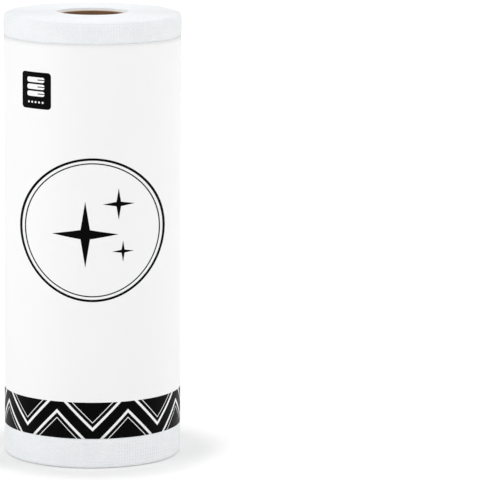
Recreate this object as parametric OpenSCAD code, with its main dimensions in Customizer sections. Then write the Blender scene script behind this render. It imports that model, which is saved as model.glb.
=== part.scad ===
// Roll of microfiber cloths: one long web of terry cloth, wound on a cardboard core and held by a
// printed paper sleeve. The roll stands on one end with its axis on Z. Its front is towards -Y.

/* [Cloths] */
// Width of the web, which is the height of the roll
web_w = 305; // [150:1:400]
// Length of one cloth, measured along the web
cloth_l = 305; // [150:1:400]
// Cloths on the roll
cloth_count = 30; // [10:1:60]
// Thickness that one wound turn takes up
turn_t = 1.06; // [0.8:0.02:2.0]
// How deep the valley between two turns goes at each end
valley_d = 1.0; // [0.4:0.1:2.0]
// Height and width over which the outer turns round off
rim_r = 3.2; // [2.2:0.1:6]
// Pitch of the knitted rows that show beyond the sleeve
row_pitch = 2.1; // [1.4:0.1:4]
// Depth of the furrow between two rows
row_d = 0.3; // [0.1:0.05:0.6]
// Angle of the free end of the web round the roll, from the front
tail_angle = 128; // [100:1:165]
// Angle over which the free end tapers out on the turn below
tail_taper = 14; // [6:1:30]

/* [Core] */
// Bore of the cardboard tube
core_bore = 46; // [20:0.5:80]
// Wall of the cardboard tube
core_wall = 1.2; // [0.6:0.1:4]
// How far the tube ends below the top of the cloth
core_short = 1.8; // [0:0.1:5]
// Gap between the tube and the first turn
core_gap = 0.05; // [0.02:0.01:0.3]

/* [Sleeve] */
// Cloth that shows below the sleeve
sleeve_z = 20.8; // [8:0.2:60]
// Cloth that shows above the sleeve
sleeve_drop = 15.4; // [8:0.2:60]
// Thickness of the paper
paper_t = 0.3; // [0.15:0.05:1]
// Gap between the cloth and the paper
sleeve_gap = 0.1; // [0.05:0.05:0.5]
// Width of the glued lap
lap_w = 14; // [6:0.5:30]

/* [Print] */
// Thickness of a printed field
ink_t = 0.15; // [0.1:0.01:0.3]
// Height of the dark band at the foot of the sleeve
band_h = 25.1; // [12:0.1:60]
// Zigzag repeats round the sleeve
band_repeats = 7.7; // [4.5:0.1:10.5]
// Height of a zigzag's tip above the edge of the band
tip_h = 5.2; // [2:0.1:10]
// Width of the wide light line, square to it
line_wide = 1.8; // [0.8:0.1:4]
// Width of the fine light line, square to it
line_fine = 0.55; // [0.4:0.05:2]
// Distance between the two light lines
line_gap = 2.1; // [0.8:0.05:4]
// Width of the square badge
badge_w = 24.8; // [10:0.2:50]
// Corner radius of the badge
badge_r = 2.5; // [1:0.1:8]
// Distance from the top of the sleeve to the middle of the badge
badge_drop = 32.4; // [18:0.2:100]
// Angle of the badge to the left of the front
badge_angle = 39; // [0:1:90]
// Radius of the round emblem, as seen from the front
emblem_r = 49; // [20:0.5:55]
// Distance from the top of the sleeve to the middle of the emblem
emblem_drop = 125.4; // [60:0.2:180]
// Width of the outer ring of the emblem
ring_wide = 1.6; // [0.6:0.1:4]
// Width of the inner ring of the emblem
ring_fine = 0.8; // [0.4:0.1:2]
// Distance between the two rings
ring_gap = 1.7; // [0.8:0.1:4]

/* [Hidden] */
$fn = 36;

// How far a cutting shape reaches past what it cuts
clear = 1;
core_r = core_bore / 2 + core_wall;
// The web's side area sets how far the turns reach beyond the core.
full_r = sqrt(pow(core_r, 2) + cloth_count * cloth_l * turn_t / PI);
turns = round((full_r - core_r) / turn_t);
bore_r = core_r + core_gap;
roll_r = bore_r + turns * turn_t;
sleeve_ri = roll_r + sleeve_gap;
sleeve_ro = sleeve_ri + paper_t;
sleeve_top = web_w - sleeve_drop;
sleeve_h = sleeve_top - sleeve_z;
// Distance between two tips of the zigzag along the paper, and the tips on each side of the front
zigzag_step = PI * sleeve_ro / band_repeats;
tips = ceil(band_repeats);

// How far the end of the roll has rounded off at radius r
function rim_drop(r) = r <= roll_r - rim_r ? 0
  : rim_r - sqrt(max(0, pow(rim_r, 2) - pow(r - roll_r + rim_r, 2)));

// One end of the roll from the bore outwards, as [radius, depth] crests and valleys
end_line = [for (j = [0 : turns - 1]) let (r = bore_r + j * turn_t) each [
  [r, rim_drop(r) + (j == 0 ? valley_d / 2 : valley_d)],
  [r + turn_t / 2, rim_drop(r + turn_t / 2)]
]];

// Furrows between the knitted rows, from one height to another, each over two fifths of the pitch
function furrows(from, to) = let (n = floor((to - from) / row_pitch)) [for (k = [1 : n]) each [
  [roll_r, from + (k - 0.7) * row_pitch],
  [roll_r - row_d, from + (k - 0.5) * row_pitch],
  [roll_r, from + (k - 0.3) * row_pitch]
]];

function backwards(list) = [for (i = [len(list) - 1 : -1 : 0]) list[i]];

// Arc in degrees that a length of paper covers
function arc(s) = s / sleeve_ro * 180 / PI;

// Turns 2D children upright, facing outwards at an angle to the right of the front
module facing(angle, z) {
  translate([0, 0, z]) rotate([90, 0, angle]) linear_extrude(sleeve_ro + paper_t + ink_t + clear)
    children();
}

// A ring round the axis whose lower end is at height z
module ring(ri, ro, z, h) {
  translate([0, 0, z]) difference() {
    cylinder(r = ro, h = h);
    translate([0, 0, -clear]) cylinder(r = ri, h = h + 2 * clear);
  }
}

// The wedge of space that the glued lap at the back takes up
module lap_wedge() {
  side = 1.1 * sleeve_ro * [sin(arc(lap_w) / 2), cos(arc(lap_w) / 2)];
  translate([0, 0, sleeve_z - clear]) linear_extrude(sleeve_h + 2 * clear)
    polygon([[0, 0], side, [-side[0], side[1]]]);
}

// A skin of ink on the sleeve, with the outline of the 2D children. The ring's start lies behind.
module ink(angle, z, reach) {
  intersection() {
    rotate([0, 0, angle + 90]) ring(sleeve_ro, sleeve_ro + ink_t, z - reach, 2 * reach);
    facing(angle, z) children();
  }
}

// A rectangle with round corners
module rounded_square(w, h, r) {
  square([w, h - 2 * r], center = true);
  square([w - 2 * r, h], center = true);
  for (x = [-1, 1]) for (y = [-1, 1]) translate([x * (w / 2 - r), y * (h / 2 - r)]) circle(r);
}

// A cloth folded in half, seen from its edge
module folded_cloth(w, h) {
  difference() {
    rounded_square(w, h, h * 0.45);
    translate([h / 2, -h * 0.1]) square([w, h * 0.2]);
  }
}

// A star with four long points
module sparkle(r) {
  polygon([for (k = [0 : 7]) let (q = k % 2 == 0 ? r : r * 0.2) [q * sin(k * 45), q * cos(k * 45)]]);
}

// The cardboard tube, which stands on the ground and ends a little below the top of the cloth
module core() color("tan") ring(core_bore / 2, core_r, 0, web_w - core_short);

// The wound web. Each turn is a soft ridge on both ends, and the outer turns round off.
module cloth_roll() color("white") difference() {
  rotate_extrude() polygon(concat(
    end_line,
    [[roll_r, rim_r]],
    furrows(rim_r, sleeve_z),
    furrows(sleeve_top, web_w - rim_r),
    [[roll_r, web_w - rim_r]],
    [for (p = backwards(end_line)) [p[0], web_w - p[1]]]
  ));
  free_end();
}

// The step down from the free end of the web, most of a turn deep, which tapers out on the turn below
module free_end() {
  depth = turn_t * 0.8;
  outside = roll_r + 2 * clear;
  rotate([0, 0, tail_angle - 90]) translate([0, 0, -clear]) linear_extrude(web_w + 2 * clear) polygon([
    [roll_r - depth, 0],
    [outside, 0],
    outside * [cos(tail_taper), sin(tail_taper)],
    roll_r * [cos(tail_taper), sin(tail_taper)],
    (roll_r - depth * 0.6) * [cos(tail_taper / 2), sin(tail_taper / 2)]
  ]);
}

// The paper sleeve, with a second layer where its outer end is glued down at the back
module sleeve() color("whitesmoke") {
  ring(sleeve_ri, sleeve_ro, sleeve_z, sleeve_h);
  intersection() {
    rotate([0, 0, -90]) ring(sleeve_ro - paper_t / 2, sleeve_ro + paper_t, sleeve_z, sleeve_h);
    lap_wedge();
  }
}

// Where a point of the unrolled paper lies beside the middle, as seen from the front
function aside(s) = sleeve_ro * sin(arc(s));

// Outline between two zigzag edges that rise by 45 degrees from heights low and high over tip k.
// Even tips stand on the foot of the band and open upwards. Odd ones hang from its top. The print
// starts at the back and ends there again, or a little later on the outer end of the paper.
module chevron(k, low, high, end) {
  way = k % 2 == 0 ? 1 : -1;
  reach = min(zigzag_step, band_h + ink_t);
  near = max(-reach, zigzag_step * (-band_repeats - k));
  far = min(reach, zigzag_step * (end - k));
  across = near < 0 && far > 0 ? [near, near / 2, 0, far / 2, far] : [near, (near + far) / 2, far];
  facing(k * 180 / band_repeats, sleeve_z + (way > 0 ? 0 : band_h)) polygon(concat(
    [for (s = across) [aside(s), way * (low + abs(s))]],
    [for (s = backwards(across)) [aside(s), way * (high + abs(s))]]
  ));
}

// The dark stripe that zigzags past a span of tips, on paper of radius r. Its ring starts out of sight.
module dark_stripe(r, span, start, end) {
  difference() {
    rotate([0, 0, start]) ring(r, r + ink_t, sleeve_z, band_h);
    for (k = span) chevron(k, tip_h, tip_h + 2 * band_h, end);
  }
}

// The dark line and the dark field inside one tip, on paper of radius r
module tip_fields(r, k, end) {
  inner = tip_h + (line_wide + line_gap + line_fine) * sqrt(2);
  intersection() {
    rotate([0, 0, k * 180 / band_repeats + 90]) ring(r, r + ink_t, sleeve_z, band_h);
    union() {
      chevron(k, tip_h + line_wide * sqrt(2), tip_h + (line_wide + line_gap) * sqrt(2), end);
      chevron(k, inner, inner + band_h, end);
    }
  }
}

// The band at the foot of the sleeve: two light lines zigzag through it and cut it into fields.
module band_print() color("black") {
  difference() {
    dark_stripe(sleeve_ro, [-tips : tips], 90, band_repeats);
    lap_wedge();
  }
  for (k = [2 - tips : tips - 2]) tip_fields(sleeve_ro, k, band_repeats);
  for (k = [-tips, 1 - tips, tips - 1, tips]) difference() {
    tip_fields(sleeve_ro, k, band_repeats);
    lap_wedge();
  }
  // The outer end of the paper carries the zigzag on over the lap.
  intersection() {
    dark_stripe(sleeve_ro + paper_t, [tips - 1, tips], -90, tips + 1);
    lap_wedge();
  }
  for (k = [tips - 1, tips]) intersection() {
    tip_fields(sleeve_ro + paper_t, k, tips + 1);
    lap_wedge();
  }
}

// A stack of folded cloths over a row of dots, with places and sizes as shares of the badge's width
module badge_print() color("black") ink(-badge_angle, sleeve_top - badge_drop, badge_w) {
  difference() {
    rounded_square(badge_w, badge_w, badge_r);
    for (k = [-1 : 1]) translate([0, badge_w * (0.1 + k * 0.19)])
      folded_cloth(badge_w * 0.6, badge_w * 0.14);
    for (k = [-2 : 2]) translate([k * badge_w * 0.12, -badge_w * 0.32]) circle(badge_w * 0.03);
  }
}

// A circle of sixty straight edges, which cut the round sleeve in simple curves
module many_sided(r) {
  polygon([for (k = [0 : 59]) [r * sin(k * 6), r * cos(k * 6)]]);
}

// Two rings round three sparkles, with places and sizes as shares of the emblem's radius
module emblem_print() color("black") {
  fine_r = emblem_r - ring_wide - ring_gap;
  z = sleeve_top - emblem_drop;
  for (edge = [[emblem_r, emblem_r - ring_wide], [fine_r, fine_r - ring_fine]])
    ink(0, z, emblem_r + clear) difference() {
      many_sided(edge[0]);
      many_sided(edge[1]);
    }
  ink(0, z, emblem_r + clear) for (s = [[-0.1, -0.06, 0.46], [0.36, 0.36, 0.22], [0.42, -0.3, 0.15]])
    translate(emblem_r * [s[0], s[1]]) sparkle(emblem_r * s[2]);
}

core();
cloth_roll();
sleeve();
band_print();
badge_print();
emblem_print();
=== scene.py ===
# %% [markdown]
# # A roll of microfiber cloths
# The imported CAD model is the frame of this scene. It is loaded first, and its box is kept.

# %% Load the frame
import math
from math import cos, pi, radians, sin, sqrt

import bmesh
import bpy
from mathutils import Matrix, Vector, noise


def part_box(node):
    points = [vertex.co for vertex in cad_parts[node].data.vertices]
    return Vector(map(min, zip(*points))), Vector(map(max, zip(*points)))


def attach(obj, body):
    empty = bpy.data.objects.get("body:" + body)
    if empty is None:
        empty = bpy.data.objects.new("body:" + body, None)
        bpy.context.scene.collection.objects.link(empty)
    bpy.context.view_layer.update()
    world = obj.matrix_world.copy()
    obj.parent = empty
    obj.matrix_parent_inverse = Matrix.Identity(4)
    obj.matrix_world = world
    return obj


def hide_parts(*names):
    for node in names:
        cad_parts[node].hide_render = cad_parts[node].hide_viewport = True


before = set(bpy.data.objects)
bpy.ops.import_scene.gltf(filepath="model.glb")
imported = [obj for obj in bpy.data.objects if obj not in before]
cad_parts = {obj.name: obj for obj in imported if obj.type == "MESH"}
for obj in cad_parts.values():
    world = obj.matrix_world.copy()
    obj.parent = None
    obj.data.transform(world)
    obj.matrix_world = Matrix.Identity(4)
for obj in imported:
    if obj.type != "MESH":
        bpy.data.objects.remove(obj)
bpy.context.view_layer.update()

# %% [markdown]
# ## Sizes
# Everything is in metres. What the CAD model knows is read from its nodes, so the dressed roll can't
# drift away from it: the height of the web, the radii of the tube, the cloth and the paper, and where
# the band, the badge and the emblem are printed.

# %% Sizes from the frame
WEB_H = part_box("cloth_roll")[1].z
ROLL_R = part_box("cloth_roll")[1].x
CORE_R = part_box("core")[1].x
TUBE_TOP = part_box("core")[1].z
PAPER_R = -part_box("sleeve")[0].y
PAPER_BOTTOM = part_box("sleeve")[0].z
PAPER_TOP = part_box("sleeve")[1].z
BAND_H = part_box("band_print")[1].z - PAPER_BOTTOM
print("roll", round(ROLL_R, 4), "paper", round(PAPER_R, 4), "band", round(BAND_H, 4))

# %% [markdown]
# Some sizes don't show in the boxes of the nodes: the bore, the turns, the rounding of the outer turns,
# where the free end lies, and the thickness and lap of the paper. They repeat the CAD model's values.

# %% Sizes of the winding and the paper
CORE_HOLE_R = 0.0230
CORE_GAP = 0.00005
TURNS = 34
TURN_T = (ROLL_R - CORE_R - CORE_GAP) / TURNS
FIRST_R = ROLL_R - TURNS * TURN_T
RIM_R = 0.0032
TAIL = radians(128)
PAPER_T = 0.0003
LAP_W = 0.014
LAP = LAP_W / PAPER_R
print("one turn", round(TURN_T * 1000, 3), "mm")

# %% [markdown]
# ## Camera
# A long lens from about 2.7 m keeps the sides of the roll nearly parallel. The camera looks down by ten
# degrees, and it is turned to the right so that the roll stands at the left of the picture. A turned
# camera that also looks down would lean the roll over, so it is rolled by a third of a degree.

# %% The camera
FOCAL_PIXELS = 3938.8
PICTURE_PIXELS = 487
SENSOR_MM = 36
CAMERA_PLACE = (0, -2.669, 0.6147)
LOOK_RIGHT = 0.03775
LOOK_DOWN = 0.1742
LEAN = 0.0065
FARTHEST = 60

camera_data = bpy.data.cameras.new("camera")
camera_data.sensor_width = SENSOR_MM
camera_data.lens = FOCAL_PIXELS / PICTURE_PIXELS * SENSOR_MM
camera_data.clip_end = FARTHEST
camera = bpy.data.objects.new("camera", camera_data)
bpy.context.collection.objects.link(camera)
camera.location = CAMERA_PLACE
turn = Matrix.Rotation(-LOOK_RIGHT, 3, "Z") @ Matrix.Rotation(pi / 2 - LOOK_DOWN, 3, "X")
camera.rotation_euler = (turn @ Matrix.Rotation(LEAN, 3, "Z")).to_euler()
bpy.context.scene.camera = camera
print("lens", round(camera_data.lens), "mm")

# %% [markdown]
# ## Shader maths
# Blender does sums in a material with Math nodes. Written as nodes they are hard to read, so one small
# class wraps a socket: adding or multiplying two of them makes the node and hands back its output.


# %% A socket that can be calculated with
class Value:
    def __init__(self, tree, socket):
        self.tree = tree
        self.socket = socket

    def node(self, kind, settings=None, inputs=None, output=0):
        """Adds a node of a kind, with its settings and inputs, and returns one of its outputs."""
        made = self.tree.nodes.new("ShaderNode" + kind)
        for name, value in (settings or {}).items():
            setattr(made, name, value)
        for name, value in (inputs or {}).items():
            if isinstance(value, Value):
                self.tree.links.new(value.socket, made.inputs[name])
            else:
                made.inputs[name].default_value = value
        return Value(self.tree, made.outputs[output])

    def math(self, operation, first, second=0.0):
        return self.node("Math", {"operation": operation}, {0: first, 1: second})

    def __add__(self, other):
        return self.math("ADD", self, other)

    def __sub__(self, other):
        return self.math("SUBTRACT", self, other)

    def __rsub__(self, other):
        return self.math("SUBTRACT", other, self)

    def __mul__(self, other):
        return self.math("MULTIPLY", self, other)

    def __truediv__(self, other):
        return self.math("DIVIDE", self, other)

    __radd__ = __add__
    __rmul__ = __mul__

    def fraction(self):
        return self.math("FRACT", self)

    def size(self):
        return self.math("ABSOLUTE", self)

    def smooth(self, low, high):
        """Rises gently from 0 at low to 1 at high."""
        return self.node("MapRange", {"interpolation_type": "SMOOTHSTEP"},
                         {"Value": self, "From Min": low, "From Max": high})

    def blend(self, first, second):
        """The first colour where this is 0, and the second where it is 1."""
        first, second = (c if isinstance(c, Value) else (*c, 1) for c in (first, second))
        return self.node("Mix", {"data_type": "RGBA"}, {0: self, 6: first, 7: second}, 2)


# %% A material with one Principled shader
def new_material(name, **numbers):
    """Makes a material and returns it with its shader and the place on the object."""
    material = bpy.data.materials.new(name)
    material.use_nodes = True
    shader = material.node_tree.nodes["Principled BSDF"]
    for key, number in numbers.items():
        shader.inputs[key.replace("_", " ")].default_value = number
    place = Value(material.node_tree, None).node("TexCoord", output="Object")
    print("material", name)
    return material, shader, place


def feed(shader, name, value):
    value.tree.links.new(value.socket, shader.inputs[name])


def noise_on(place, scale, detail=2.0, rough=0.5):
    return place.node("TexNoise", {}, {"Vector": place, "Scale": scale, "Detail": detail,
                                       "Roughness": rough}, "Fac")


def bump(shader, height, depth, strength):
    feed(shader, "Normal", height.node("Bump", {}, {"Height": height, "Distance": depth,
                                                    "Strength": strength}))


# %% [markdown]
# ## Cloth
# Microfiber terry is a pile of very fine loops: matt, nearly white with a cool cast. Loops could be
# grown as hair, but they are far too fine to be seen one by one. So a fine bump stands for them, with
# a slight painted shade between them where the bump is low, and the ribs of the knit are modelled
# with the outer turn.

# %% The cloth material
CLOTH_SHADE = (0.84, 0.865, 0.885)
CLOTH_WHITE = (0.93, 0.945, 0.955)
LOOP_SCALE, LOOP_DEPTH = 1500, 0.0005

cloth, shader, place = new_material("microfiber_terry", Roughness=0.95, Sheen_Weight=0.25,
                                    Sheen_Roughness=0.5, Specular_IOR_Level=0.1)
loops = noise_on(place, LOOP_SCALE, 3, 0.65)
patches = noise_on(place, 90, 2)
# Painted shade: the colour greys where the loops' bump is low, and also in random patches of tone.
feed(shader, "Base Color", (loops * 0.8 + patches * 0.2).smooth(0.3, 0.7).blend(
    CLOTH_SHADE, CLOTH_WHITE))
bump(shader, loops, LOOP_DEPTH, 0.7)

# %% [markdown]
# ## Cardboard
# The tube is wound from strips of grey-brown board, so a butt joint runs round its bore as a helix. The
# joint could be painted on a picture. Worked out from the angle and the height instead, it fits a tube
# of any size. The board is cut at both ends, where the fresh edge is paler than the face.

# %% The cardboard material
BOARD_DARK, BOARD_LIGHT = (0.16, 0.080, 0.045), (0.235, 0.128, 0.075)
JOINT_COLOUR = (0.07, 0.035, 0.02)
CUT_COLOUR = (0.58, 0.43, 0.33)
STRIP_RISE = 0.082
JOINT_HALF = 0.012
CUT_FADE, CUT_FULL = 0.0008, 0.0002

board, shader, place = new_material("wound_cardboard", Roughness=0.9, Specular_IOR_Level=0.2)
x, y, z = (place.node("SeparateXYZ", {}, {0: place}, axis) for axis in "XYZ")
strip = (x.math("ARCTAN2", y, x) / (2 * pi) + z / STRIP_RISE).fraction()
joint = 1 - (strip - 0.5).size().smooth(0.0, JOINT_HALF)
fibres = noise_on(place, 900, 4, 0.6)
clouds = noise_on(place, 60, 3)
face_colour = (fibres * 0.5 + clouds * 0.5).smooth(0.3, 0.7).blend(BOARD_DARK, BOARD_LIGHT)
seamed = (joint * 0.7).blend(face_colour, JOINT_COLOUR)
middle = TUBE_TOP / 2
cut = (z - middle).size().smooth(middle - CUT_FADE, middle - CUT_FULL)
feed(shader, "Base Color", cut.blend(seamed, CUT_COLOUR))
bump(shader, fibres * 0.5 - joint, 0.0004, 0.6)

# %% [markdown]
# ## Paper and ink
# The sleeve is a white coated paper with a satin finish, and the ink lies in its coating with the same
# satin gloss. The ink could be a second colour in the paper's own material. It has a material of its
# own, because it goes on separate pieces whose edges stay sharp from close by.

# %% The paper and ink materials
PAPER_DIM, PAPER_BRIGHT = (0.895, 0.895, 0.895), (0.915, 0.915, 0.915)
INK_DARK, INK_LIGHT = (0.0008, 0.0008, 0.0009), (0.0016, 0.0016, 0.0018)

paper, shader, place = new_material("satin_paper", Base_Color=(0.90, 0.90, 0.90, 1),
                                    Specular_IOR_Level=0.4)
tooth = noise_on(place, 700, 3)
feed(shader, "Roughness", tooth.smooth(0.2, 0.8) * 0.10 + 0.40)
feed(shader, "Base Color", noise_on(place, 25, 2).blend(PAPER_DIM, PAPER_BRIGHT))
bump(shader, tooth, 0.00004, 0.5)

ink, shader, place = new_material("black_ink", Specular_IOR_Level=0.03)
feed(shader, "Roughness", noise_on(place, 700, 3).smooth(0.2, 0.8) * 0.08 + 0.34)
feed(shader, "Base Color", noise_on(place, 120, 3).blend(INK_DARK, INK_LIGHT))
bump(shader, noise_on(place, 900, 2), 0.00003, 0.4)

# %% [markdown]
# ## Sheets that are bent into shape
# Everything on this roll is thin and wraps round an axis, so most pieces start as a flat grid. A Simple
# Deform modifier could bend it, but only evenly. One function makes the grid and moves each vertex to
# where a rule puts it, so a sheet can also wave, lap or swell. Merging by distance closes its seams.

# %% Grid and finish
SEAM = 2e-6


def bent_grid(columns, rows, rule):
    """A grid whose vertex at column i and row j goes to rule(i, j)."""
    mesh = bmesh.new()
    bmesh.ops.create_grid(mesh, x_segments=columns, y_segments=rows, size=1)
    for v in mesh.verts:
        v.co = rule(round((v.co.x + 1) / 2 * columns), round((v.co.y + 1) / 2 * rows))
    bmesh.ops.remove_doubles(mesh, verts=mesh.verts, dist=SEAM)
    mesh.normal_update()
    return mesh


def look_outward(mesh, outside):
    """Turns all faces over if they look against outside, a rule that gives a direction for a face."""
    looks = sum(f.normal.dot(outside(f)) * f.calc_area() for f in mesh.faces)
    if looks < 0:
        bmesh.ops.reverse_faces(mesh, faces=mesh.faces)


def finish_piece(name, mesh, material, replaced, smooth=True):
    data = bpy.data.meshes.new(name)
    mesh.to_mesh(data)
    mesh.free()
    data.polygons.foreach_set("use_smooth", [smooth] * len(data.polygons))
    data.materials.append(material)
    piece = bpy.data.objects.new(name, data)
    bpy.context.collection.objects.link(piece)
    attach(piece, "root")
    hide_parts(*replaced)
    print(name, len(data.polygons), "faces")
    return piece


# %% [markdown]
# ## The winding
# A roll is one web wound on itself. Its turns could be a true spiral, but the roll would then be out of
# round under its sleeve. The CAD model has plain rings. Here the turns run nearly as circles and step
# out by one thickness, most of it beside the free end of the web, so the roll stays round and the free
# end has a step to lie on.

# %% How the turns lie
STEP = radians(40)
STEP_SHARE = 0.85


def ease(part):
    """Rises gently from 0 to 1 while part goes from 0 to 1, and stays level outside."""
    part = min(max(part, 0), 1)
    return part * part * (3 - 2 * part)


def wavy(angle, along, lobes):
    """Smooth noise between about -1 and 1 that closes round the roll. More lobes wave it faster."""
    return noise.noise(Vector((lobes * cos(angle), lobes * sin(angle), along)))


def outward(angle):
    """How much of a turn's thickness has been gained at an angle past the free end, from 0 to 1."""
    return STEP_SHARE * ease(angle / STEP) + (1 - STEP_SHARE) * angle / (2 * pi)


def rim_drop(r):
    """How far the end of the roll has rounded off at a radius."""
    over = min(max(r - (ROLL_R - RIM_R), 0), RIM_R)
    return RIM_R - sqrt(RIM_R ** 2 - over ** 2)


def at(r, angle, z):
    """A point at an angle past the free end, which lies to the right of the front by TAIL."""
    a = TAIL + angle
    return Vector((r * sin(a), -r * cos(a), z))


print("gained after the step", round(outward(STEP), 3))

# %% [markdown]
# ## The wound ends
# Seen from its end, each turn is a soft crest, and the crests follow the winding. Thirty-four separate
# turns would leave gaps between them, so each end is one grid, with four samples out from the bore for
# each turn. The turns nearest the bore stand a little proud on the near side, so that less of the bore
# shows from the front, and the lower rim is rounded less, as under the roll's own weight.

# %% The two wound ends
PER_TURN = 4
CREST = (0.0, 0.80, 1.0, 0.80)
AROUND = 288
SAMPLES = TURNS * PER_TURN
# The valley between two crests, and how much the crests vary in height and stray to the side.
VALLEY = 0.0003
UNEVEN = 0.14
WANDER = 0.00009
# How far the near turns stand proud, how far out from the bore, and how sharply it fades behind it.
PROUD, PROUD_REACH = 0.0006, 0.008
NEAR_SIDE = 1.5
# The share of the upper rim's rounding that the lower rim has.
PRESSED = 0.4
WALL = 0.0050
HEM = 0.0030
# Shifts the noise, so that the two ends aren't alike.
OTHER_END = 50


def end_point(i, j, top):
    """Sample i along a line out from the bore, at step j round the roll, counted from the free end.

    The first sample goes into the roll along the tube, as a wall, and the innermost turn starts
    flat there. The last step repeats the one before it with the outermost turn dropped, which
    closes the step that the free end leaves."""
    angle = 2 * pi * min(j, AROUND) / AROUND
    turn = (max(i, 1) - 1) / PER_TURN - 1 + outward(angle)
    uneven = wavy(angle, turn * 0.83 + (0 if top else OTHER_END), 1.7)
    r = max(FIRST_R + turn * TURN_T + WANDER * wavy(angle, turn * 0.5 + 9, 2.3), FIRST_R)
    started = min(max(turn * PER_TURN, 0), 1)
    crest = CREST[(max(i, 1) - 1) % PER_TURN] * (1 - UNEVEN + UNEVEN * uneven) * started
    down = rim_drop(r) * (1 if top else PRESSED) + VALLEY * (1 - crest)
    if top:
        near = ease(1 + NEAR_SIDE * cos(TAIL + angle))
        down -= PROUD * ease(1 - (r - FIRST_R) / PROUD_REACH) * near
    if i == 0:
        down += WALL
    if j > AROUND and i > SAMPLES + 1 - PER_TURN:
        down += HEM
    return at(r, angle, WEB_H - down if top else down)


for name, top in (("wound_end_top", True), ("wound_end_bottom", False)):
    mesh = bent_grid(SAMPLES + 1, AROUND + 1, lambda i, j: end_point(i, j, top))
    look_outward(mesh, lambda f: Vector((0, 0, 1 if top else -1)))
    finish_piece(name, mesh, cloth, ["cloth_roll"])

# %% [markdown]
# ## The outer turn
# Beyond the sleeve the outer turn shows from outside, and there the knit matters: small pads between
# furrows that run up the roll and round it, about two millimetres apart. A bump would give them too,
# but not at the edge of the roll or in the mesh itself, so they are real relief. Where the paper
# stops holding it, the cloth swells a little.

# %% The rows of the outer turn
WALES = 188
PER_WALE = 4
COLUMNS = WALES * PER_WALE
ROW = 0.0021
PER_ROW = 4
# How far the knit goes on under the paper, and where the plain stretch starts.
TUCK = 0.002
PLAIN = 0.02
# Height of the first row below the end, as a share of the rim's rounding.
FIRST_ROW = 0.62
# Where the web rolls over the rim: how far in, as a share of a turn, and how far from the end.
ROUNDING = ((0.9, 0.0016), (0.55, 0.0009), (0.25, 0.0012))


def outer_path():
    """Distance in from the outside and height of each row of vertices, from the top end down.

    Rows lie close together where the cloth is bare and a little under the paper, and three of them
    are enough for the plain stretch between."""
    rounding = [(TURN_T * share, drop) for share, drop in ROUNDING]
    step = ROW / PER_ROW
    upper_rows = int((WEB_H - PAPER_TOP + TUCK) / step)
    heights = [WEB_H - RIM_R * FIRST_ROW - k * step for k in range(upper_rows)]
    heights += [PAPER_TOP - PLAIN, WEB_H / 2, PAPER_BOTTOM + PLAIN]
    heights += [k * step for k in range(int((PAPER_BOTTOM + TUCK) / step), 1, -1)]
    top = [(inset, WEB_H - drop) for inset, drop in rounding]
    bottom = [(inset, drop * PRESSED) for inset, drop in reversed(rounding)]
    return top + [(0.0, z) for z in heights] + bottom


OUTER = outer_path()
print("outer turn", len(OUTER), "rows")

# %% The outer turn
PAD_DEPTH = 0.00034
PAD_ROUND = 0.6
# The share of their depth that the pads keep where the web rolls over the rim.
ROLLED_OVER = 0.4
# How unevenly the cloth lies round the roll.
SLACK = 0.00015
# The swell starts under the edge of the paper, grows over a run, and ends short of the roll's end.
SWELL = 0.0006
SWELL_UNDER, SWELL_RUN = 0.0015, 0.0045
SWELL_STOP = 0.006
# The share of the rim's rounding that the knit follows.
RIM_PULL = 0.45
# The share of a turn by which the free end is thinner.
THIN_END = 0.3


def pad_height(i, z):
    """From 0 in a furrow to 1 on top of a pad. A lower PAD_ROUND makes the pads squarer."""
    return abs(sin(pi * i / PER_WALE)) ** PAD_ROUND * abs(sin(pi * z / ROW)) ** PAD_ROUND


def outer_rule(i, j):
    """Column i round the roll from the free end, and row j down it. One more column closes the seam."""
    if i > COLUMNS:
        return outer_rule(0, j)
    angle = 2 * pi * i / COLUMNS
    inset, z = OUTER[j]
    r = ROLL_R - TURN_T * (1 - outward(angle)) - inset
    r -= PAD_DEPTH * (1 - pad_height(i, z)) * (1 if inset == 0 else ROLLED_OVER)
    r += SLACK * wavy(angle, z * 60, 4)
    end = min(z / PRESSED, WEB_H - z)
    beyond = max(PAPER_BOTTOM - z, z - PAPER_TOP)
    r += SWELL * ease((beyond + SWELL_UNDER) / SWELL_RUN) * ease(end / SWELL_STOP)
    if inset == 0 and end < RIM_R:
        r -= RIM_R * (1 - sqrt(1 - (1 - end / RIM_R) ** 2)) * RIM_PULL
    if i == COLUMNS:
        r -= TURN_T * THIN_END
    return at(r, angle, z)


mesh = bent_grid(COLUMNS + 1, len(OUTER) - 1, outer_rule)
look_outward(mesh, lambda f: f.calc_center_median() * Vector((1, 1, 0)))
finish_piece("outer_turn", mesh, cloth, ["cloth_roll"])

# %% [markdown]
# ## The tube
# The core is a plain cardboard tube, and the edges of cut board are slightly soft. Two cylinders and a
# boolean would give it too. It is spun from its cross-section instead, a thin rectangle with its four
# corners rounded, because that leaves one clean closed wall.

# %% The tube
EDGE_R = 0.00035
MERGE = 1e-6

mesh = bmesh.new()
bmesh.ops.create_grid(mesh, x_segments=1, y_segments=1, size=1)
for v in mesh.verts:
    v.co = Vector((CORE_HOLE_R if v.co.x < 0 else CORE_R, 0, 0 if v.co.y < 0 else TUBE_TOP))
bmesh.ops.bevel(mesh, geom=mesh.verts[:], offset=EDGE_R, segments=3, profile=0.5,
                affect="VERTICES", material=-1)
bmesh.ops.delete(mesh, geom=mesh.faces[:], context="FACES_ONLY")
bmesh.ops.spin(mesh, geom=mesh.verts[:] + mesh.edges[:], axis=(0, 0, 1), cent=(0, 0, 0),
               steps=128, angle=2 * pi, use_merge=True)
bmesh.ops.remove_doubles(mesh, verts=mesh.verts, dist=MERGE)
bmesh.ops.recalc_face_normals(mesh, faces=mesh.faces)
finish_piece("cardboard_tube", mesh, board, ["core"])

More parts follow.
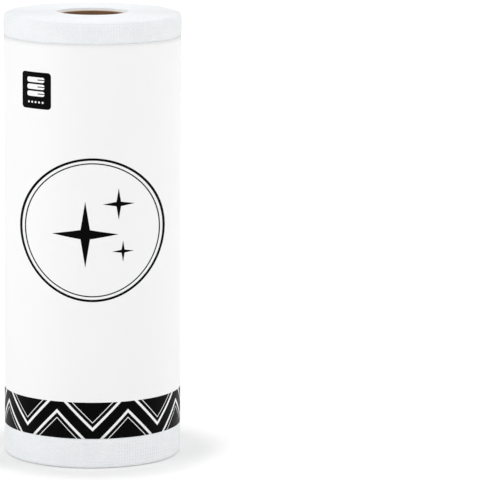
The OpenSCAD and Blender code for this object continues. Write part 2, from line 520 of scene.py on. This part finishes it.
# %% [markdown]
# ## The sleeve
# The paper is one strip that is wrapped round the roll and glued to its own start at the back. Its outer
# end climbs over the inner one, which leaves a thin edge. The paper isn't stiff, so it follows the cloth
# in very slight waves. A cloth simulation would wrap it too, but a rule keeps the print in place.

# %% How the paper lies
LAP_HALF = LAP / 2
CLIMB = radians(6)
# The waves lie mostly inwards, so that the paper doesn't grow past the CAD model.
WAVE = 0.00010
WAVE_IN = 0.7
GLUE = 0.00004


def paper_r(angle, z):
    """Radius of the outer face of the paper at an angle to the right of the front and a height."""
    wave = WAVE * (wavy(angle, z * 14, 2.2) - WAVE_IN)
    return PAPER_R + wave + (PAPER_T + GLUE) * ease((angle - (pi - LAP_HALF - CLIMB)) / CLIMB)


def on_paper(angle, z, above=0.0):
    r = paper_r(angle, z) + above
    return Vector((r * sin(angle), -r * cos(angle), z))


print("paper round the roll", round(2 * pi * PAPER_R + LAP_W, 4))

# %% The sleeve
SLEEVE_COLUMNS, SLEEVE_ROWS = 380, 72
START, END = -pi - LAP_HALF, pi + LAP_HALF

mesh = bent_grid(SLEEVE_COLUMNS, SLEEVE_ROWS, lambda i, j: on_paper(
    START + (END - START) * i / SLEEVE_COLUMNS,
    PAPER_BOTTOM + (PAPER_TOP - PAPER_BOTTOM) * j / SLEEVE_ROWS))
sleeve = finish_piece("paper_sleeve", mesh, paper, ["sleeve"])
wall = sleeve.modifiers.new("thickness", "SOLIDIFY")
wall.thickness = PAPER_T
wall.offset = -1

# %% [markdown]
# ## Printing
# Ink on paper has no height that can be felt, but its edges are sharp. Each printed field is cut out
# flat, in the plane of the unrolled paper, where straight lines stay straight. Then it is cut into
# narrow columns, so that it can bend, and wrapped a hair above the paper.

# %% Flat shapes and how they are wrapped
INK_LIFT = 0.00004
INK_T = 0.00003
COLUMN_W = 0.0012
CUT = 1e-7


def everything(mesh):
    return mesh.verts[:] + mesh.edges[:] + mesh.faces[:]


def cut_columns(mesh):
    """Cuts a flat mesh into columns narrow enough to bend round the roll."""
    xs = [v.co.x for v in mesh.verts]
    for k in range(math.ceil(min(xs) / COLUMN_W), math.floor(max(xs) / COLUMN_W) + 1):
        bmesh.ops.bisect_plane(mesh, geom=everything(mesh), plane_co=(k * COLUMN_W, 0, 0),
                               plane_no=(1, 0, 0), dist=CUT)


def wrap(mesh, angle, z, above=INK_LIFT, straight_on=False):
    """Bends a flat mesh round the paper, with its faces outwards.

    Straight on, it looks flat when it is seen square to its middle."""
    for v in mesh.verts:
        aside = math.asin(v.co.x / PAPER_R) if straight_on else v.co.x / PAPER_R
        v.co = on_paper(angle + aside, z + v.co.y, above)
    for face in mesh.faces:
        middle = face.calc_center_median()
        if face.normal.dot(Vector((middle.x, middle.y, 0))) < 0:
            face.normal_flip()


def rounded_plate(width, height, radius):
    mesh = bmesh.new()
    bmesh.ops.create_grid(mesh, x_segments=1, y_segments=1, size=0.5)
    bmesh.ops.scale(mesh, vec=(width, height, 1), verts=mesh.verts)
    bmesh.ops.bevel(mesh, geom=mesh.verts[:], offset=radius, segments=8, profile=0.5,
                    affect="VERTICES", material=-1)
    return mesh


def add_part(mesh, part):
    """Adds a part to a larger mesh and frees it."""
    data = bpy.data.meshes.new("part")
    part.to_mesh(data)
    part.free()
    mesh.from_mesh(data)
    bpy.data.meshes.remove(data)


def printed(name, mesh, material, replaced):
    piece = finish_piece(name, mesh, material, replaced, smooth=False)
    layer = piece.modifiers.new("thickness", "SOLIDIFY")
    layer.thickness = INK_T
    layer.offset = -1


# %% [markdown]
# ## The zigzag band
# The band is a common zigzag: pairs of white lines, one wide and one fine, that turn at 45 degrees in
# a black ground. It could be a pattern in the ink's material, but its edges would blur when they are
# baked. So half a zigzag is one flat cell. It is cut along the edges of four lines, the white parts are
# deleted, and the cell is mirrored and repeated round the sleeve, until both ends are cut at the lap.

# %% One cell of the zigzag, cut along its lines
REPEATS = 7.7
CELL = 2 * pi * PAPER_R / REPEATS / 2
TIP = 0.0052
# A line's width is measured square to it, and upwards a line at 45 degrees is sqrt(2) times as high.
WIDE = 0.0018 * sqrt(2)
FINE = 0.00055 * sqrt(2)
BETWEEN = 0.0021 * sqrt(2)


def zigzag_cell():
    """Black fields from a tip at x = 0 to the opposite tip at x = CELL, with lines at 45 degrees."""
    low, high = TIP, BAND_H - TIP - CELL
    lines = [(low, low + WIDE), (low + WIDE + BETWEEN, low + WIDE + BETWEEN + FINE),
             (high - WIDE, high), (high - WIDE - BETWEEN - FINE, high - WIDE - BETWEEN)]
    mesh = bmesh.new()
    bmesh.ops.create_grid(mesh, x_segments=1, y_segments=1, size=0.5)
    for v in mesh.verts:
        v.co = Vector(((v.co.x + 0.5) * CELL, (v.co.y + 0.5) * BAND_H, 0))
    for edge in [e for line in lines for e in line]:
        bmesh.ops.bisect_plane(mesh, geom=everything(mesh), plane_co=(0, edge, 0),
                               plane_no=(-1, 1, 0), dist=CUT)
    white = []
    for face in mesh.faces:
        middle = face.calc_center_median()
        if any(a < middle.y - middle.x < b for a, b in lines):
            white.append(face)
    bmesh.ops.delete(mesh, geom=white, context="FACES")
    return mesh


print("half a zigzag", round(CELL, 4))

# %% The band, cell by cell round the sleeve
CELLS_ASIDE = math.ceil(REPEATS)

mesh = bmesh.new()
for k in range(-CELLS_ASIDE, CELLS_ASIDE):
    cell = zigzag_cell()
    if k % 2:
        bmesh.ops.scale(cell, vec=(-1, 1, 1), verts=cell.verts)
        bmesh.ops.translate(cell, vec=(CELL, 0, 0), verts=cell.verts)
    bmesh.ops.translate(cell, vec=(k * CELL, 0, 0), verts=cell.verts)
    add_part(mesh, cell)
bmesh.ops.remove_doubles(mesh, verts=mesh.verts, dist=MERGE)
for edge, side in (((-pi + LAP_HALF) * PAPER_R, -1), ((pi + LAP_HALF) * PAPER_R, 1)):
    bmesh.ops.bisect_plane(mesh, geom=everything(mesh), clear_outer=True,
                           plane_co=(edge, 0, 0), plane_no=(side, 0, 0), dist=CUT)
cut_columns(mesh)
wrap(mesh, 0, PAPER_BOTTOM)
printed("zigzag_band", mesh, ink, ["band_print"])

# %% [markdown]
# ## The emblem
# A double ring with three sparkles is printed on the front. A boolean could cut a ring from a disc, but
# bridging two circles gives a cleaner one. It is drawn to look round from the front, so it is wider on
# the unrolled paper than it is high.

# %% The emblem
RING_WIDE, RING_FINE, RING_GAP = 0.0016, 0.0008, 0.0017
WAIST = 0.2
# Each sparkle's place and size, as shares of the emblem's radius: across, up and out to its tips.
SPARKLES = ((-0.1, -0.06, 0.46), (0.36, 0.36, 0.22), (0.42, -0.3, 0.15))

low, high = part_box("emblem_print")
EMBLEM_R, EMBLEM_Z = (high.x - low.x) / 2, (high.z + low.z) / 2


def ring(mesh, radius, width):
    circles = [bmesh.ops.create_circle(mesh, segments=240, radius=r) for r in (radius, radius - width)]
    ends = set(v for c in circles for v in c["verts"])
    edges = [e for e in mesh.edges if e.verts[0] in ends and e.verts[1] in ends]
    bmesh.ops.bridge_loops(mesh, edges=edges)


def sparkle(mesh, x, y, radius):
    """A star of four points: every other point of an octagon is drawn in to the waist."""
    points = bmesh.ops.create_circle(mesh, segments=8, radius=radius, cap_ends=True)["verts"]
    for v in points:
        if min(abs(v.co.x), abs(v.co.y)) > radius * 0.1:
            v.co *= WAIST
    bmesh.ops.translate(mesh, vec=(x, y, 0), verts=points)


mesh = bmesh.new()
ring(mesh, EMBLEM_R, RING_WIDE)
ring(mesh, EMBLEM_R - RING_WIDE - RING_GAP, RING_FINE)
for x, y, radius in SPARKLES:
    sparkle(mesh, x * EMBLEM_R, y * EMBLEM_R, radius * EMBLEM_R)
bmesh.ops.triangulate(mesh, faces=[f for f in mesh.faces if len(f.verts) > 4])
cut_columns(mesh)
wrap(mesh, 0, EMBLEM_Z, straight_on=True)
printed("emblem", mesh, ink, ["emblem_print"])

# %% [markdown]
# ## The badge
# The badge is a black rounded square with a plain pictogram of a stack of folded cloths and a row of
# dots. The pictogram could be holes in the badge. It is a second layer in the paper's own material,
# because simple shapes laid on top need no cuts through the black.

# %% The badge
low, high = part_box("badge_print")
BADGE_W, BADGE_Z = high.z - low.z, (high.z + low.z) / 2
BADGE_ANGLE = radians(-39)
BADGE_CORNER = 0.0025

mesh = rounded_plate(BADGE_W, BADGE_W, BADGE_CORNER)
cut_columns(mesh)
wrap(mesh, BADGE_ANGLE, BADGE_Z, straight_on=True)
printed("badge", mesh, ink, ["badge_print"])

# %% The pictogram
BAR_W, BAR_H = BADGE_W * 0.6, BADGE_W * 0.14
BAR_CORNER = BAR_H * 0.45
SLIT_HALF = BAR_H * 0.1
STACK_RISE, STACK_STEP = 0.1, 0.19
DOT_R, DOT_STEP, DOT_DROP = BADGE_W * 0.03, BADGE_W * 0.12, BADGE_W * 0.32


def folded_cloth():
    """A rounded bar that is slit from one side, as the edge of a folded cloth."""
    bar = rounded_plate(BAR_W, BAR_H, BAR_CORNER)
    across, along = (0, 1, 0), (1, 0, 0)
    for co, no in (((0, SLIT_HALF, 0), across), ((0, -SLIT_HALF, 0), across), ((BAR_H / 2, 0, 0), along)):
        bmesh.ops.bisect_plane(bar, geom=everything(bar), plane_co=co, plane_no=no, dist=CUT)
    middles = {f: f.calc_center_median() for f in bar.faces}
    slit = [f for f, middle in middles.items() if abs(middle.y) < SLIT_HALF and middle.x > BAR_H / 2]
    bmesh.ops.delete(bar, geom=slit, context="FACES")
    return bar


mesh = bmesh.new()
for k in (-1, 0, 1):
    bar = folded_cloth()
    bmesh.ops.translate(bar, vec=(0, BADGE_W * (STACK_RISE + k * STACK_STEP), 0), verts=bar.verts)
    add_part(mesh, bar)
for k in range(-2, 3):
    dot = bmesh.ops.create_circle(mesh, segments=24, radius=DOT_R, cap_ends=True)["verts"]
    bmesh.ops.translate(mesh, vec=(k * DOT_STEP, -DOT_DROP, 0), verts=dot)
cut_columns(mesh)
wrap(mesh, BADGE_ANGLE, BADGE_Z, above=INK_LIFT * 2, straight_on=True)
printed("badge_pictogram", mesh, paper, ["badge_print"])

# %% [markdown]
# ## The room
# A pale floor runs far behind the roll. Enough lamplight to make it white would wash out the roll, so
# to the camera and to mirrors it has a little light of its own. That light grows away from the roll,
# which leaves a soft shadow round its foot. The patch under the roll glows too. Only its edge shows, in
# the thin gap below the rim, which the lamps barely reach and which would be a hard dark line.

# %% The floor
FLOOR_HALF = 9
RIM_GLOW, RIM_FROM, RIM_TO = 0.25, 0.0573, 0.0613
NEAR_GLOW, NEAR_FROM, NEAR_TO = 0.15, 0.070, 0.104
FAR_GLOW, FAR_TO = 0.43, 1.6
LEAST_GLOW = 0.025

mesh = bmesh.new()
bmesh.ops.create_grid(mesh, x_segments=1, y_segments=1, size=FLOOR_HALF)
data = bpy.data.meshes.new("floor")
mesh.to_mesh(data)
mesh.free()
floor = bpy.data.objects.new("floor", data)
bpy.context.collection.objects.link(floor)
floor_paint, shader, place = new_material("floor_paint", Base_Color=(0.9, 0.9, 0.9, 1), Roughness=0.9,
                                          Specular_IOR_Level=0.0, Emission_Strength=1.0)
seen = place.node("LightPath", output="Is Camera Ray") + place.node("LightPath", output="Is Glossy Ray")
away = place.node("VectorMath", {"operation": "LENGTH"}, {0: place}, "Value")
rim = 1 - away.smooth(RIM_FROM, RIM_TO)
near = away.smooth(NEAR_FROM, NEAR_TO)
far = away.smooth(0.0, FAR_TO)
feed(shader, "Emission Color",
     seen * (rim * RIM_GLOW + near * NEAR_GLOW + far * FAR_GLOW + LEAST_GLOW))
data.materials.append(floor_paint)

# %% [markdown]
# ## Light
# A wide soft light stands at the left and in front, a weaker one at the right, and one hangs above for
# the wound end. The world fills what is left, so no side of the roll goes dark. Small lamps could stand
# there too, but they throw hard shadows, and soft ones suit pale cloth and paper better.

# %% The world and the lamps
WORLD_STRENGTH = 0.6
AIM = Vector((0, 0, 0.15))

world = bpy.data.worlds.new("world")
bpy.context.scene.world = world
world.use_nodes = True
background = world.node_tree.nodes["Background"]
background.inputs["Color"].default_value = (1, 1, 1, 1)
background.inputs["Strength"].default_value = WORLD_STRENGTH


def soft_light(name, place, size, watts):
    lamp = bpy.data.lights.new(name, "AREA")
    lamp.size = size
    lamp.energy = watts
    holder = bpy.data.objects.new(name, lamp)
    bpy.context.collection.objects.link(holder)
    holder.location = place
    holder.rotation_euler = (AIM - holder.location).to_track_quat("-Z", "Y").to_euler()
    print("light", name, watts, "W")


soft_light("key", place=(-1.4, -1.05, 0.9), size=1.1, watts=12.2)
soft_light("fill", place=(1.6, -0.5, 0.8), size=1.0, watts=9)
soft_light("above", place=(0.0, 0.4, 1.8), size=1.2, watts=8.6)
bpy.context.scene.view_settings.view_transform = "Standard"
